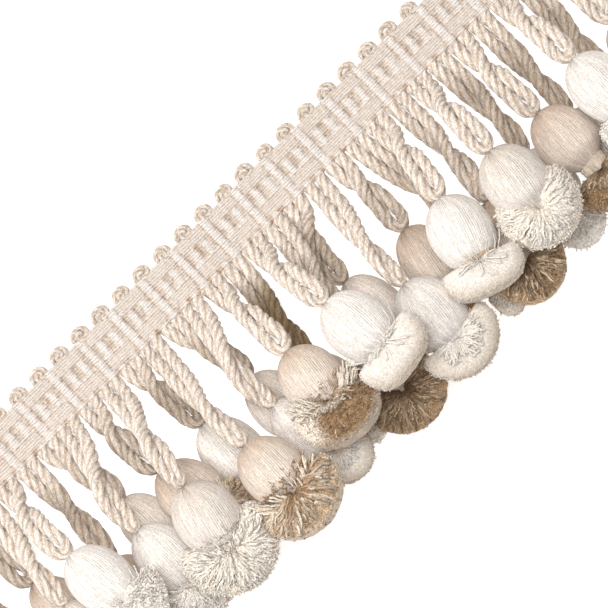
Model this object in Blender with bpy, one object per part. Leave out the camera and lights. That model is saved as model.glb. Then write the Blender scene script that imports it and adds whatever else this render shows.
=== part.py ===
"""Onion tassel fringe, a cut length lying flat on a surface.

A woven heading braid has picots along its upper edge and a skirt of bullion loops below it.
Each loop of plied cord ends in an onion tassel: a plump yarn head, a neck and a flared ruff.
+X runs along the heading, the tassels reach toward -Y, +Z is up and the surface is z = 0.
The origin is the middle of the heading's flat back.
"""
import math
from collections import namedtuple

import bmesh
import bpy
import numpy as np
from mathutils import Matrix, Vector
from mathutils.bvhtree import BVHTree

MM = 0.001
WELD = 0.01 * MM

# Clearance between pieces that lie against each other
GAP = 0.3 * MM
SETTLE_STEP = 0.25 * MM

# Fringe
LOOPS = 30
PITCH = 9.44 * MM
LENGTH = LOOPS * PITCH

# Heading braid
HEADING_TOP = 8.45 * MM
HEADING_LOW = -6.2 * MM
BRAID_THICKNESS = 1.7 * MM
LOW_EDGE = 1.2 * MM
HIGH_EDGE = 2.5 * MM
REPEAT = 1.5 * PITCH
FIRST_RIB = -2.3 * MM
RIB_WIDTH = 4.2 * MM
SMALL_RIB_WIDTH = 3.9 * MM
RIB_RISE = 1.0 * MM
SMALL_RIB_RISE = 0.6 * MM
BLOCK_RISE = 0.6 * MM
WINDOW_DROP = 0.4 * MM
LOW_BLOCK_TOP = -2.1 * MM
HIGH_BLOCK_LOW = 3.9 * MM

# Picots
PICOT_RADIUS = 2.1 * MM
PICOT_CORD = 1.15 * MM
PICOT_FOOT = 0.5 * MM
PICOT_LIFT = 0.15 * MM

# Selvedge strip that holds the loops
STRIP_WIDTH = 2.25 * MM
STRIP_THICKNESS = 2.9 * MM

# Bullion loops
CORD_RADIUS = 2.1 * MM
LEG_OFFSET = 2.27 * MM
EYE_RADIUS = 2.6 * MM
ROOT_SQUEEZE = 0.6
ROOT_LIFT = 0.15 * MM
LEG_STEP = 5.4 * MM
PLY_TURN = math.radians(44)
CROSSING_START = 0.2
CROSSING_END = 0.8
ARCH_STEP = 0.5 * MM
HIGHEST_ARCH = 40 * MM

# Onion tassels
HEAD_LENGTH = 23.5 * MM
HEAD_MIDDLE = 11.5 * MM
NECK_SHARE = 0.45
RUFF_LENGTH = 15.0 * MM

# Squashed height share of the head and the ruff, and the head's sides, for the lower and upper layers
Squash = namedtuple("Squash", "head ruff sides")
UNDER = Squash(0.76, 0.66, 10)
OVER = Squash(0.84, 0.58, 14)
FIRST_UPPER_LAYER = 2

# Head outline: place along the axis and share of the full girth
HEAD_OUTLINE = ((0.0, 0.0), (0.03, 0.38), (0.17, 0.82), (0.46, 1.0), (0.78, 0.88), (1.0, NECK_SHARE))

# One row for each tassel, laid in the order of its layer. Lengths are millimetres, angles degrees.
# shift: sideways from its loop's own place; reach: heading's lower edge to the head's middle;
# girth: half the head's width; swing: ruff's sideways lean; rise: the ruff end tipped up.
Tassel = namedtuple("Tassel", "number layer shift reach girth swing rise ruff")
TASSELS = (
    Tassel(1, 0, -3.0, 53, 8.8, 0, 0, 10.0),
    Tassel(2, 0, 4.5, 40, 8.6, 8, 0, 8.0),
    Tassel(3, 2, -4.0, 52, 10.0, -4, -2, 14.0),
    Tassel(4, 3, 1.5, 41.5, 10.0, 14, 14, 13.5),
    Tassel(5, 0, -1.5, 53, 8.8, -6, 0, 10.0),
    Tassel(6, 0, 6.0, 41, 8.8, 0, 0, 9.0),
    Tassel(7, 2, -6.5, 51.5, 9.6, 13, -4, 13.5),
    Tassel(8, 1, 4.0, 42.5, 10.4, 16, 4, 12.5),
    Tassel(9, 3, -6.5, 51.5, 10.8, -7, -10, 17.5),
    Tassel(10, 0, 4.0, 42, 10.0, 2, 0, 8.0),
    Tassel(11, 3, 0.0, 56, 10.4, 6, 18, 16.5),
    Tassel(12, 0, 7.0, 42, 9.4, -4, 0, 8.6),
    Tassel(13, 2, -2.0, 53.5, 8.8, 20, -2, 12.0),
    Tassel(14, 3, 1.5, 44, 10.2, -6, 22, 15.6),
    Tassel(15, 0, -4.0, 51.5, 8.4, -4, 0, 8.2),
    Tassel(16, 3, 5.0, 41.5, 10.6, 11, 16, 14.5),
    Tassel(17, 1, -7.0, 56.5, 7.6, -6, 6, 15.5),
    Tassel(18, 0, -5.2, 41.5, 8.6, 18, 0, 6.6),
    Tassel(19, 2, -3.0, 55.5, 10.6, 4, 0, 15.5),
    Tassel(20, 0, -0.5, 43, 9.2, -10, 0, 6.6),
    Tassel(21, 0, 2.5, 56, 8.0, -18, 0, 6.8),
    Tassel(22, 3, -6.0, 43.5, 10.6, -17, 16, 14.8),
    Tassel(23, 1, -5.0, 55, 8.4, -20, 8, 14.0),
    Tassel(24, 3, -1.0, 44.2, 10.6, -4, -4, 15.0),
    Tassel(25, 0, -2.0, 53, 8.6, -12, 0, 11.0),
    Tassel(26, 3, 1.5, 46.5, 10.0, 5, 8, 14.0),
    Tassel(27, 0, 0.0, 54, 8.6, 0, 0, 9.6),
    Tassel(28, 3, 2.5, 42, 10.0, 1, 12, 13.5),
    Tassel(29, 0, 0.0, 54, 8.6, 4, 0, 9.6),
    Tassel(30, 3, 2.5, 42.5, 10.0, 2, 10, 13.5),
)

IVORY = (0.90, 0.85, 0.79, 1.0)
BEIGE = (0.72, 0.60, 0.45, 1.0)
CREAM = (0.80, 0.73, 0.60, 1.0)
ECRU = (0.77, 0.67, 0.52, 1.0)


def clear_objects():
    """Removes what the start-up file holds."""
    for leftover in list(bpy.data.objects):
        bpy.data.objects.remove(leftover, do_unlink=True)


def yarn_material(name, colour):
    """A matt fibre surface of one colour."""
    material = bpy.data.materials.new(name)
    material.use_nodes = True
    shader = material.node_tree.nodes["Principled BSDF"]
    shader.inputs["Base Color"].default_value = colour
    shader.inputs["Roughness"].default_value = 0.9
    shader.inputs["Metallic"].default_value = 0.0
    return material


def new_object(name, bm, material, collection):
    """Turns a closed bmesh into a smooth-shaded object."""
    bmesh.ops.recalc_face_normals(bm, faces=bm.faces)
    mesh = bpy.data.meshes.new(name)
    bm.to_mesh(mesh)
    bm.free()
    mesh.shade_smooth()
    mesh.set_sharp_from_angle(angle=math.radians(50))
    mesh.materials.append(material)
    piece = bpy.data.objects.new(name, mesh)
    collection.objects.link(piece)
    return piece


def cord_mesh(points, radius, turns=None, squeezes=None):
    """A closed four-sided tube along the points, with a turn and a width share for each point."""
    curve = bpy.data.curves.new("cord_guide", "CURVE")
    curve.dimensions = "3D"
    curve.bevel_depth = radius
    curve.bevel_resolution = 0
    curve.use_fill_caps = True
    curve.twist_mode = "MINIMUM"
    spline = curve.splines.new("POLY")
    spline.points.add(len(points) - 1)
    for index, point in enumerate(points):
        spline.points[index].co = (*point, 1.0)
        if turns is not None:
            spline.points[index].tilt = turns[index]
        if squeezes is not None:
            spline.points[index].radius = squeezes[index]
    guide = bpy.data.objects.new("cord_guide", curve)
    bpy.context.scene.collection.objects.link(guide)
    bpy.context.view_layer.update()
    evaluated = guide.evaluated_get(bpy.context.evaluated_depsgraph_get())
    mesh = bpy.data.meshes.new_from_object(evaluated)
    bpy.data.objects.remove(guide, do_unlink=True)
    return mesh


def join_meshes(meshes):
    """One bmesh that holds all the closed tubes, with their caps welded."""
    bm = bmesh.new()
    for mesh in meshes:
        bm.from_mesh(mesh)
    bmesh.ops.remove_doubles(bm, verts=bm.verts, dist=WELD)
    bmesh.ops.recalc_face_normals(bm, faces=bm.faces)
    return bm


def fuse(body, addition_bm, cutters):
    """Joins the tubes to the body with a Boolean union."""
    mesh = bpy.data.meshes.new(body.name + "_tubes")
    addition_bm.to_mesh(mesh)
    addition_bm.free()
    guide = bpy.data.objects.new(body.name + "_tubes", mesh)
    guide.hide_render = True
    guide.display_type = "WIRE"
    cutters.objects.link(guide)
    union = body.modifiers.new("union", "BOOLEAN")
    union.operation = "UNION"
    union.solver = "EXACT"
    union.object = guide


def heading_columns():
    """Places along the heading where the weave's ribs have a crest or a groove, and each one's kind."""
    first = FIRST_RIB - REPEAT * math.ceil(LENGTH / 2 / REPEAT)
    small = SMALL_RIB_WIDTH
    half_rib = RIB_WIDTH / 2
    steps = (
        (0.0, "rib"),
        (half_rib, "groove"),
        (half_rib + small / 2, "small rib"),
        (REPEAT / 2, "window"),
        (REPEAT - half_rib - small / 2, "small rib"),
        (REPEAT - half_rib, "groove"),
    )
    columns = [(-LENGTH / 2, "groove")]
    for repeat in range(2 * math.ceil(LENGTH / 2 / REPEAT) + 1):
        for offset, kind in steps:
            place = first + repeat * REPEAT + offset
            if abs(place) < LENGTH / 2 - 0.5 * MM:
                columns.append((place, kind))
    columns.append((LENGTH / 2, "groove"))
    return columns


def heading_height(kind, row):
    """Height of the weave at a crest or groove, for a block row, the window row or a seam."""
    if row == "low edge":
        return LOW_EDGE
    if row == "high edge":
        return HIGH_EDGE
    if kind == "rib":
        return BRAID_THICKNESS + RIB_RISE
    if row == "seam" or kind == "groove":
        return BRAID_THICKNESS
    if row == "block":
        return BRAID_THICKNESS + BLOCK_RISE
    return BRAID_THICKNESS + (SMALL_RIB_RISE if kind == "small rib" else -WINDOW_DROP)


def build_heading(material, collection, cutters):
    """The braid: a grid raised at its ribs, closed by its walls and flat back, with picots fused on."""
    rows = (
        (HEADING_LOW, "low edge"),
        ((HEADING_LOW + LOW_BLOCK_TOP) / 2, "block"),
        (LOW_BLOCK_TOP, "seam"),
        ((LOW_BLOCK_TOP + HIGH_BLOCK_LOW) / 2, "window row"),
        (HIGH_BLOCK_LOW, "seam"),
        ((HIGH_BLOCK_LOW + HEADING_TOP) / 2, "block"),
        (HEADING_TOP, "high edge"),
    )
    columns = heading_columns()
    bm = bmesh.new()
    bmesh.ops.create_grid(bm, x_segments=len(columns) - 1, y_segments=len(rows) - 1, size=1.0)
    for vertex in bm.verts:
        column = round((vertex.co.x + 1) / 2 * (len(columns) - 1))
        row = round((vertex.co.y + 1) / 2 * (len(rows) - 1))
        place, kind = columns[column]
        level, row_kind = rows[row]
        vertex.co = (place, level, heading_height(kind, row_kind))
    rim = [edge for edge in bm.edges if edge.is_boundary]
    wall = bmesh.ops.extrude_edge_only(bm, edges=rim)["geom"]
    for vertex in (item for item in wall if isinstance(item, bmesh.types.BMVert)):
        vertex.co.z = 0.0
    bottom = [edge for edge in bm.edges if edge.is_boundary]
    bmesh.ops.contextual_create(bm, geom=bottom)
    heading = new_object("heading", bm, material, collection)

    picots = []
    for index in range(LOOPS - 1):
        middle = (index - (LOOPS - 2) / 2) * PITCH
        base = HEADING_TOP
        level = PICOT_CORD + PICOT_LIFT
        points = [(middle - PICOT_RADIUS, base - PICOT_FOOT, level)]
        for step in range(4):
            angle = math.pi * (1 - step / 3)
            points.append((middle + PICOT_RADIUS * math.cos(angle),
                           base + PICOT_RADIUS * math.sin(angle), level))
        points.append((middle + PICOT_RADIUS, base - PICOT_FOOT, level))
        picots.append(cord_mesh(points, PICOT_CORD))
    fuse(heading, join_meshes(picots), cutters)


def loop_middle(number):
    """Where a loop hangs along the heading."""
    return (number - (LOOPS + 1) / 2) * PITCH


def squash_of(row):
    """Tassels in the upper layers stay rounder and are built finer."""
    return OVER if row.layer >= FIRST_UPPER_LAYER else UNDER


def tassel_shape(row):
    """A tassel along its own axis: a turned head, then locks drawn out of the neck's end."""
    girth = row.girth * MM
    flare = row.ruff * MM
    sides = squash_of(row).sides
    locks = sides // 2
    bm = bmesh.new()
    profile = [bm.verts.new((girth * share, 0.0, HEAD_LENGTH * place)) for place, share in HEAD_OUTLINE]
    profile.append(bm.verts.new((0.0, 0.0, HEAD_LENGTH)))
    chain = [bm.edges.new(pair) for pair in zip(profile, profile[1:])]
    bmesh.ops.spin(bm, geom=profile + chain, axis=(0, 0, 1), cent=(0, 0, 0),
                   angle=math.tau, steps=sides, use_merge=True)
    bmesh.ops.remove_doubles(bm, verts=bm.verts, dist=WELD)
    bmesh.ops.rotate(bm, verts=bm.verts, matrix=Matrix.Rotation(math.pi / 2 + math.pi / sides, 3, "Z"))
    bmesh.ops.recalc_face_normals(bm, faces=bm.faces)
    ends = neck_sectors(bm)
    sway = 0.06 * np.sin(row.number * 1.7 + np.arange(locks) * 2.3)
    for reach, width, core in ((0.32, 0.96, 0.05), (1.0, 0.80, 0.07)):
        ends = bmesh.ops.extrude_discrete_faces(bm, faces=ends)["faces"]
        for index, face in enumerate(sorted(ends, key=sector_angle)):
            spread_lock(face, reach * (1 + sway[index]), flare * width, flare * core)
    return bm


def sector_angle(face):
    """The direction of a sector seen along the axis."""
    middle = face.calc_center_median()
    return math.atan2(middle.y, middle.x)


def neck_sectors(bm):
    """The neck's end as one four-cornered sector for each lock."""
    hub = min(bm.verts, key=lambda v: (v.co - Vector((0, 0, HEAD_LENGTH))).length)
    spokes = sorted(hub.link_edges, key=lambda e: math.atan2(*e.other_vert(hub).co.yx))
    bmesh.ops.dissolve_edges(bm, edges=spokes[::2], use_verts=False)
    return list(hub.link_faces)


def spread_lock(face, reach, radius, core):
    """Moves a lock's end out along the axis, away from it and in from its neighbours."""
    middle = sector_angle(face)
    for vertex in face.verts:
        out = math.hypot(vertex.co.x, vertex.co.y)
        angle = math.atan2(vertex.co.y, vertex.co.x) if out > WELD else middle
        turn = (angle - middle + math.pi) % math.tau - math.pi
        inner = out < WELD or abs(turn) < 1e-4 and out < 0.2 * radius
        near = core if inner else radius
        kept = middle + (0.0 if inner else turn * 0.94)
        vertex.co = (near * math.cos(kept), near * math.sin(kept), HEAD_LENGTH + RUFF_LENGTH * reach)


def axis_frame(lean, rise):
    """Direction of an axis that leans sideways from -Y and rises, with its side and its up."""
    along = Vector((math.sin(lean) * math.cos(rise), -math.cos(lean) * math.cos(rise), math.sin(rise)))
    side = Vector((math.cos(lean), math.sin(lean), 0.0))
    return along, side, along.cross(side)


def tassel_axes(row):
    """Frames of the head and of the ruff: the head lies between the loop's slant and the ruff's lean."""
    slant = math.atan2(row.shift, row.reach)
    swing = math.radians(row.swing)
    rise = math.radians(row.rise)
    return axis_frame((slant + swing) / 2, rise * 0.8), axis_frame(swing, rise)


def lay_tassel(bm, row, height):
    """Moves the shape to where it lies, with its head's middle at the height given."""
    head, ruff = tassel_axes(row)
    middle = Vector((loop_middle(row.number) + row.shift * MM,
                     strip_low() - row.reach * MM, height))
    neck = middle + head[0] * (HEAD_LENGTH - HEAD_MIDDLE)
    squash = squash_of(row)
    for vertex in bm.verts:
        x, y, z = vertex.co
        if z <= HEAD_LENGTH + WELD:
            along, side, up = head
            spot = middle + along * (z - HEAD_MIDDLE) + side * x + up * (y * squash.head)
        else:
            along, side, up = ruff
            spot = neck + along * (z - HEAD_LENGTH) + side * x + up * (y * squash.ruff)
        vertex.co = spot
        vertex.co.z = max(spot.z, 0.0)
    return middle - head[0] * HEAD_MIDDLE, head[0]


def strip_low():
    """The strip's lower edge, where the loops leave the heading."""
    return HEADING_LOW - GAP - STRIP_WIDTH


def swollen_tree(bm, by):
    """A search tree of the shape, grown outward by the clearance."""
    bm.normal_update()
    spots = [vertex.co + vertex.normal * by for vertex in bm.verts]
    return BVHTree.FromPolygons(spots, [[v.index for v in face.verts] for face in bm.faces])


def settle_tassel(row, placed):
    """Lifts the tassel in small steps until it lies clear on what is under it."""
    squash = squash_of(row)
    height = row.girth * MM * squash.head * math.cos(math.pi / squash.sides)
    while True:
        bm = tassel_shape(row)
        top, along = lay_tassel(bm, row, height)
        bm.verts.index_update()
        lowest = min(vertex.co.z for vertex in bm.verts)
        tree = swollen_tree(bm, GAP + 0.1 * MM)
        points = loop_points(row, top, along, 0.0)
        middle = len(points) // 2
        eye = points[middle - 3:middle + 4]
        clear = not any(tree.overlap(other) for other in placed) and all_clear(eye, placed)
        if lowest >= 0.0 and clear:
            return bm, top, along
        bm.free()
        height += SETTLE_STEP


def loop_centre(row, top, along, arch, share):
    """The middle between a loop's legs: a cubic from the strip to the eye at the tassel's top."""
    root = Vector((loop_middle(row.number), strip_low() + STRIP_WIDTH / 2,
                   CORD_RADIUS * ROOT_SQUEEZE + ROOT_LIFT))
    eye = top - along * (EYE_RADIUS + CORD_RADIUS + GAP)
    reach = (eye - root).length
    leave = root + Vector((0.0, -0.30 * reach, arch))
    arrive = eye - along * (0.35 * reach) + Vector((0.0, 0.0, arch * 0.6))
    back = 1.0 - share
    return (root * back ** 3 + leave * (3 * back ** 2 * share)
            + arrive * (3 * back * share ** 2) + eye * share ** 3)


def loop_points(row, top, along, arch):
    """Points down one leg, around the eye and up the other leg, with the legs crossing once."""
    eye = loop_centre(row, top, along, arch, 1.0)
    length = (eye - loop_centre(row, top, along, arch, 0.0)).length
    legs = max(4, round(length / LEG_STEP))
    side_end = axis_frame(math.atan2(along.x, -along.y), 0.0)[1]
    down, up = [], []
    for step in range(legs + 1):
        share = step / legs
        middle = loop_centre(row, top, along, arch, share)
        ahead = loop_centre(row, top, along, arch, min(share + 0.02, 1.0))
        behind = loop_centre(row, top, along, arch, max(share - 0.02, 0.0))
        forward = (ahead - behind).normalized()
        side = Vector((1.0, 0.0, 0.0)).lerp(side_end, share)
        side = (side - forward * side.dot(forward)).normalized()
        rise = forward.cross(side)
        crossed = min(1.0, max(0.0, (share - CROSSING_START) / (CROSSING_END - CROSSING_START)))
        turn = math.pi * crossed * crossed * (3 - 2 * crossed)
        wide = PITCH / 4 + (LEG_OFFSET - PITCH / 4) * min(1.0, share * 4)
        wide += (EYE_RADIUS - LEG_OFFSET) * max(0.0, share * 5 - 4)
        offset = (side * math.cos(turn) + rise * math.sin(turn)) * wide
        lift = Vector((0.0, 0.0, max(0.0, CORD_RADIUS + WELD + wide * abs(math.sin(turn)) - middle.z)))
        lift *= min(1.0, share * legs)
        down.append(middle + offset + lift)
        up.append(middle - offset + lift)
    first = (down[-1] - up[-1]) / 2
    bend = [eye + first * math.cos(a) + along * (EYE_RADIUS * math.sin(a))
            for a in (math.pi / 4, math.pi / 2, 3 * math.pi / 4)]
    return down + bend + up[::-1]


def all_clear(points, placed):
    """Whether a cord along the points keeps its clearance from all that is placed."""
    spots = [a.lerp(b, part) for a, b in zip(points, points[1:]) for part in (0.0, 0.33, 0.67)]
    reach = CORD_RADIUS + GAP + 0.1 * MM
    return all(tree.find_nearest(spot, reach)[0] is None for tree in placed for spot in spots)


def route_loop(row, top, along, placed):
    """Raises the loop's arch until both its legs pass clear over what is under them."""
    arch = 0.0
    while arch < HIGHEST_ARCH:
        points = loop_points(row, top, along, arch)
        if all_clear(points[1:-1], placed):
            return points
        arch += ARCH_STEP
    raise ValueError(f"loop {row.number} finds no clear way")


def build_strip(material, collection):
    """The selvedge strip below the braid."""
    bm = bmesh.new()
    bmesh.ops.create_cube(bm, size=1.0)
    middle = Vector((0.0, strip_low() + STRIP_WIDTH / 2, STRIP_THICKNESS / 2))
    for vertex in bm.verts:
        vertex.co = Vector((vertex.co.x * LENGTH, vertex.co.y * STRIP_WIDTH,
                            vertex.co.z * STRIP_THICKNESS)) + middle
    return new_object("cord_skirt", bm, material, collection)


def build_fringe(materials, collection, cutters):
    """Lays the tassels layer by layer, routes each one's loop and fuses the loops to the strip."""
    placed = []
    cords = []
    yarns = (materials["yarn_cream"], materials["yarn_white"], materials["yarn_beige"])
    for row in sorted(TASSELS, key=lambda r: (r.layer, r.number)):
        bm, top, along = settle_tassel(row, placed)
        points = route_loop(row, top, along, placed)
        placed.append(swollen_tree(bm, 0.0))
        new_object(f"tassel_{row.number:02d}", bm, yarns[row.number % 3], collection)
        legs = len(points) // 2
        turns = [PLY_TURN * (step if step <= legs else 2 * legs - step) for step in range(len(points))]
        squeezes = [1.0] * len(points)
        squeezes[0] = squeezes[-1] = ROOT_SQUEEZE
        cord = cord_mesh(points, CORD_RADIUS, turns, squeezes)
        cords.append(cord)
        placed.append(BVHTree.FromPolygons([v.co for v in cord.vertices],
                                           [list(p.vertices) for p in cord.polygons]))
    strip = build_strip(materials["cord_ecru"], collection)
    fuse(strip, join_meshes(cords), cutters)


def main():
    clear_objects()
    scene = bpy.context.scene
    fringe = bpy.data.collections.new("onion_tassel_fringe")
    cutters = bpy.data.collections.new("guides")
    scene.collection.children.link(fringe)
    scene.collection.children.link(cutters)
    materials = {
        "heading_ecru": yarn_material("heading_ecru", ECRU),
        "cord_ecru": yarn_material("cord_ecru", ECRU),
        "yarn_white": yarn_material("yarn_white", IVORY),
        "yarn_beige": yarn_material("yarn_beige", BEIGE),
        "yarn_cream": yarn_material("yarn_cream", CREAM),
    }
    build_heading(materials["heading_ecru"], fringe, cutters)
    build_fringe(materials, fringe, cutters)


main()
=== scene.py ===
"""Onion tassel fringe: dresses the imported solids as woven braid, plied bullion cord and yarn tassels."""
import math
from types import SimpleNamespace

import bpy
import numpy as np
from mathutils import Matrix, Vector


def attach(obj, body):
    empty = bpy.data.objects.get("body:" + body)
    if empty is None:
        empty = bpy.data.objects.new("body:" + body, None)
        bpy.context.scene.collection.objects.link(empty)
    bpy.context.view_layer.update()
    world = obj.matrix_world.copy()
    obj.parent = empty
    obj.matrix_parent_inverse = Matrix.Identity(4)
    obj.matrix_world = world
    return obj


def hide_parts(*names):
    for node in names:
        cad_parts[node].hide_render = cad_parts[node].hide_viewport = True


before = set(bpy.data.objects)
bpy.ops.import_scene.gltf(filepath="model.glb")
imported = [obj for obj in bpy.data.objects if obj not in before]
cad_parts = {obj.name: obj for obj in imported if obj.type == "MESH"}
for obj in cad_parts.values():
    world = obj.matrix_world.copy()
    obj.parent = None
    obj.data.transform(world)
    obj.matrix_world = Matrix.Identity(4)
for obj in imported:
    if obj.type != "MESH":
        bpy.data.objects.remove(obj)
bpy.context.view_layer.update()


# The view. The fringe lies on a pale table under a camera that looks straight down on it,
# turned so that the heading rises to the right, with soft light from above the heading.
MM = 0.001
PHOTO_SIDE = 608
PIXEL_SIZE = 0.325 * MM
HEADING_SLOPE = math.radians(44.7)
VIEW_MIDDLE = Vector((2.6, -34.8, 16.0)) * MM
VIEW_DISTANCE = 2.6
SENSOR_WIDTH = 36.0
TABLE_HALF = 3.0
TABLE_TOP = -0.2 * MM

studio = bpy.context.scene
studio.view_settings.view_transform = "Standard"
camera_data = bpy.data.cameras.new("overhead_camera")
camera_data.sensor_width = SENSOR_WIDTH
camera_data.lens = SENSOR_WIDTH * VIEW_DISTANCE / (PHOTO_SIDE * PIXEL_SIZE)
camera_data.clip_start = 0.1
camera_data.clip_end = 20.0
camera = bpy.data.objects.new("overhead_camera", camera_data)
camera.location = VIEW_MIDDLE + Vector((0.0, 0.0, VIEW_DISTANCE))
camera.rotation_euler = (0.0, 0.0, -HEADING_SLOPE)
studio.collection.objects.link(camera)
studio.camera = camera


def soft_light(name, place, size, power):
    """A square softbox at a place, turned to face the fringe."""
    lamp = bpy.data.lights.new(name, "AREA")
    lamp.shape = "SQUARE"
    lamp.size = size
    lamp.energy = power
    box = bpy.data.objects.new(name, lamp)
    box.location = place
    box.rotation_euler = (VIEW_MIDDLE - Vector(place)).to_track_quat("-Z", "Y").to_euler()
    studio.collection.objects.link(box)


def set_up(node, values):
    """A node with some of its inputs set, by their names."""
    for name, value in values.items():
        node.inputs[name].default_value = value
    return node


soft_light("overhead_softbox", (-0.05, 0.38, 1.85), 1.1, 33.5)
soft_light("left_softbox", (-1.1, 0.45, 1.0), 0.5, 10.5)
studio.world = bpy.data.worlds.new("pale_room")
studio.world.use_nodes = True
set_up(studio.world.node_tree.nodes["Background"], {"Color": (1.0, 0.965, 0.925, 1.0), "Strength": 0.30})

table_mesh = bpy.data.meshes.new("pale_table")
table_ends = (-TABLE_HALF, TABLE_HALF)
table_mesh.from_pydata([(x, y, TABLE_TOP) for x in table_ends for y in table_ends], [], [(0, 2, 3, 1)])
table = bpy.data.objects.new("pale_table", table_mesh)
studio.collection.objects.link(table)
table_paint = bpy.data.materials.new("pale_table")
table_paint.use_nodes = True
set_up(table_paint.node_tree.nodes["Principled BSDF"], {
    "Base Color": (0.93, 0.93, 0.93, 1.0), "Roughness": 0.9,
    "Emission Color": (1.0, 1.0, 1.0, 1.0), "Emission Strength": 0.60})
table_mesh.materials.append(table_paint)


# The braid. A flat band woven of ecru yarn, 17 mm wide: lighter weft floats stand up as a rib
# every 14 mm and as two short ribs beside a window between them, over fine lengthwise warp.
LOOPS = 30
PITCH = 9.44
BRAID_LENGTH = LOOPS * PITCH
BRAID_TOP = 8.45
SELVEDGE_TOP = -6.8
SELVEDGE_LOW = -8.75
BRAID_WIDTH = BRAID_TOP - SELVEDGE_LOW
BACK_RISE = 0.02
RIB_STEP = 1.5 * PITCH
FIRST_RIB = -1.85
RIB_HALF = 1.7
SHORT_RIB_OFF = 2.55
SHORT_RIB_HALF = 1.45
WARP_STEP = 0.92
WEFT_STEP = 0.70
WANDERS = 558
GROUND = 1.85
BRAID_COLUMNS = 680
BRAID_ROWS = 54
STUDIO_GAIN = 1.12


def dye(red, green, blue):
    """A yarn's linear colour from a screen colour in 0 to 255, less what the studio light adds."""
    screen = np.array([red, green, blue]) / 255.0
    return ((screen + 0.055) / 1.055) ** 2.4 / STUDIO_GAIN


def made_piece(name, points, faces, places, tint, material, slot):
    """A piece from points (n, 3) in mm, faces as (m, k) corner arrays, each corner's place on its yarn
    in mm, and a colour for each point. Faces that close a negative volume are turned over."""
    points = points * MM
    volume = 0.0
    for group in faces:
        first = points[group[:, 0]]
        for corner in range(1, group.shape[1] - 1):
            across = np.cross(points[group[:, corner]], points[group[:, corner + 1]])
            volume += np.einsum("ij,ij->", first, across)
    if volume < 0:
        faces = [group[:, ::-1] for group in faces]
        places = [place[:, ::-1] for place in places]
    corners = np.concatenate([group.ravel() for group in faces])
    sides = np.concatenate([np.full(len(group), group.shape[1]) for group in faces])
    mesh = bpy.data.meshes.new(name)
    mesh.vertices.add(len(points))
    mesh.vertices.foreach_set("co", points.ravel())
    mesh.loops.add(len(corners))
    mesh.loops.foreach_set("vertex_index", corners.astype(np.int32))
    mesh.polygons.add(len(sides))
    mesh.polygons.foreach_set("loop_start", (np.cumsum(sides) - sides).astype(np.int32))
    mesh.update(calc_edges=True)
    mesh.uv_layers.new(name="lay").data.foreach_set("uv", np.concatenate([p.reshape(-1) for p in places]))
    colour = mesh.attributes.new("tint", "FLOAT_COLOR", "POINT")
    rgba = np.concatenate([tint, np.ones((len(tint), 1))], axis=1)
    colour.data.foreach_set("color", rgba.ravel())
    mesh.polygons.foreach_set("use_smooth", np.ones(len(sides), dtype=bool))
    mesh.materials.append(material)
    piece = bpy.data.objects.new(name, mesh)
    studio.collection.objects.link(piece)
    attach(piece, "root")
    return piece


def ring_stacks(rings, girth, lengths):
    """Faces of stacks of rings, (stacks, rings, corners, 3), closed at both ends. A corner's place is
    its share of the turn times the girth, and the length reached, both in mm."""
    stacks, tall, round_ = rings.shape[:3]
    row, column = np.meshgrid(np.arange(tall - 1), np.arange(round_), indexing="ij")
    rows = np.stack([row, row, row + 1, row + 1], -1).reshape(-1, 4)
    columns = np.stack([column, column + 1, column + 1, column], -1).reshape(-1, 4)
    start = np.arange(stacks)[:, None, None] * tall * round_
    quads = start + rows * round_ + columns % round_
    across = np.broadcast_to(columns / round_, quads.shape) * girth
    quad_places = np.stack([across, lengths[:, rows]], -1)
    brim = np.arange(round_)
    caps = np.stack([brim[::-1], (tall - 1) * round_ + brim])
    cap_faces = (start + caps).reshape(-1, round_)
    ends = np.broadcast_to(lengths[:, [0, -1], None], (stacks, 2, round_))
    cap_across = np.broadcast_to(brim / round_, ends.shape) * girth
    cap_places = np.stack([cap_across, ends], -1)
    return ([quads.reshape(-1, 4), cap_faces],
            [quad_places.reshape(-1, 4, 2), cap_places.reshape(-1, round_, 2)])


def joined(parts):
    """Several pieces' points, faces, places and colours as one."""
    points, faces, places, tints, start = [], [], [], [], 0
    for rings, tint, girth, lengths in parts:
        group, place = ring_stacks(rings, girth, lengths)
        points.append(rings.reshape(-1, 3))
        tints.append(np.broadcast_to(tint, rings.shape).reshape(-1, 3))
        faces += [g + start for g in group]
        places += place
        start += len(points[-1])
    return np.concatenate(points), faces, places, np.concatenate(tints)


def step_up(value, low, high):
    """0 below low, 1 above high, and a smooth slope between."""
    share = np.clip((value - low) / (high - low), 0.0, 1.0)
    return share * share * (3 - 2 * share)


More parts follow.
